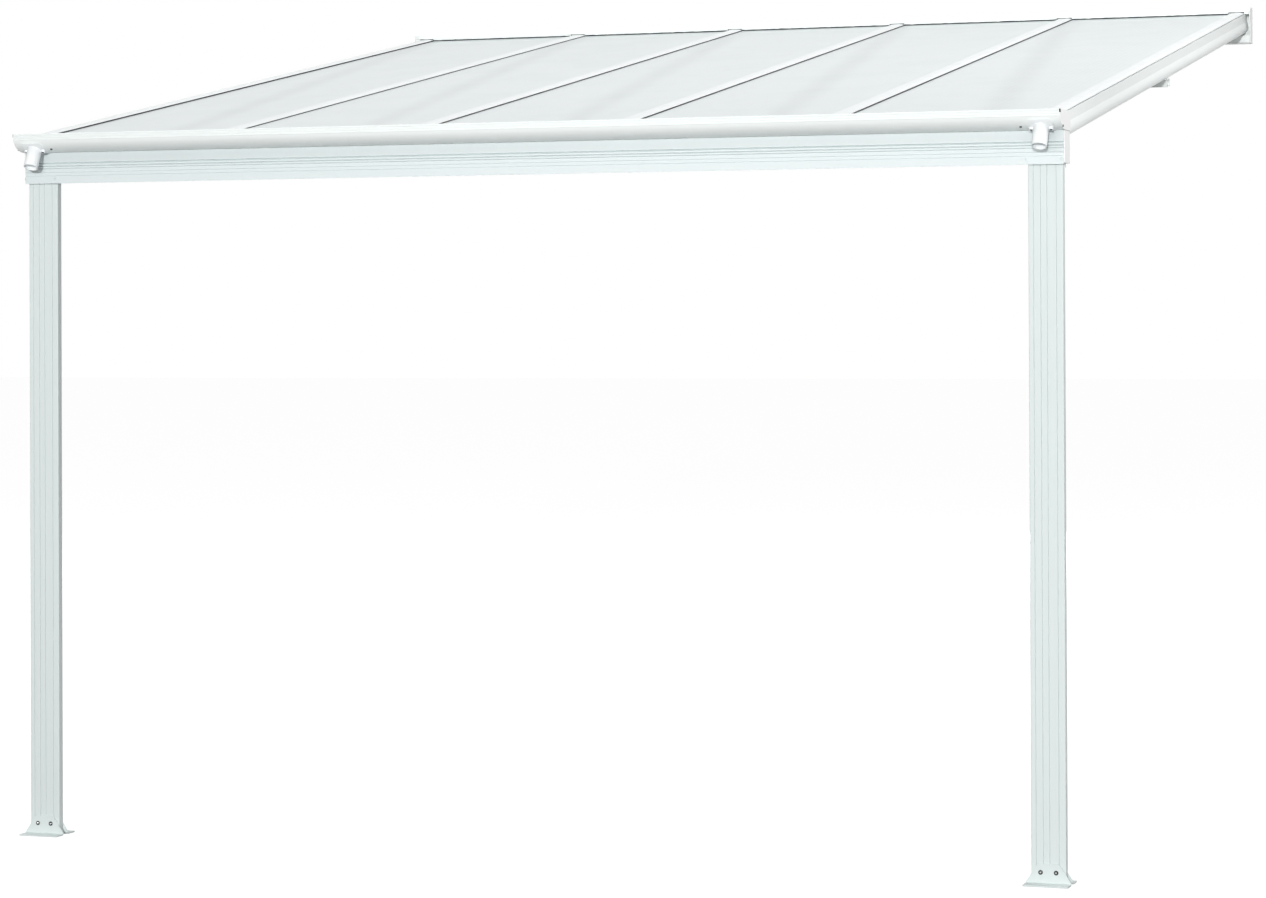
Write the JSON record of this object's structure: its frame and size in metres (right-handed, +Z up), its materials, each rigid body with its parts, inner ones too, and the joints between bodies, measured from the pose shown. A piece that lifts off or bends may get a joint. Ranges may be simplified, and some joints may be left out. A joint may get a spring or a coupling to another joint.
{
  "type": "attached patio cover",
  "caption": "Wall-hung lean-to patio roof of opal multiwall panels on white rafters, with a front gutter, spouts and flat posts on foot brackets.",
  "frame": {"origin": "on the wall profile's flat back face, halfway along it and halfway up it; the ground is 2.52 m below", "axes": "+X to the right seen from the garden, +Y into the wall, +Z up"},
  "size_m": [3.1366, 3.139, 2.5871],
  "materials": {
    "white_powder_coat": "satin white powder coat on aluminium",
    "white_moulding": "smooth white moulded plastic",
    "opal_polycarbonate": "smooth opal white multiwall sheet that lets light through"
  },
  "bodies": {
    "root": {"wall_profile": "white_powder_coat", "wall_cap_left": "white_powder_coat", "wall_cap_right": "white_powder_coat", "gutter": "white_powder_coat", "gutter_cap_left": "white_powder_coat", "gutter_cap_right": "white_powder_coat", "outlet_left": "white_moulding", "outlet_right": "white_moulding", "front_beam": "white_powder_coat", "beam_cap_left": "white_powder_coat", "beam_cap_right": "white_powder_coat", "side_rafter_left": "white_powder_coat", "side_rafter_right": "white_powder_coat", "rafter_1": "white_powder_coat", "rafter_2": "white_powder_coat", "rafter_3": "white_powder_coat", "rafter_4": "white_powder_coat", "cap_strip_1": "white_powder_coat", "cap_strip_2": "white_powder_coat", "cap_strip_3": "white_powder_coat", "cap_strip_4": "white_powder_coat", "cap_strip_5": "white_powder_coat", "cap_strip_6": "white_powder_coat", "roof_panel_1": "opal_polycarbonate", "roof_panel_2": "opal_polycarbonate", "roof_panel_3": "opal_polycarbonate", "roof_panel_4": "opal_polycarbonate", "roof_panel_5": "opal_polycarbonate", "panel_trim_1": "white_powder_coat", "panel_trim_2": "white_powder_coat", "panel_trim_3": "white_powder_coat", "panel_trim_4": "white_powder_coat", "panel_trim_5": "white_powder_coat", "cross_bar": "white_powder_coat", "post_left": "white_powder_coat", "post_right": "white_powder_coat", "foot_left_front": "white_powder_coat", "foot_left_back": "white_powder_coat", "foot_right_front": "white_powder_coat", "foot_right_back": "white_powder_coat"}
  },
  "joints": []
}
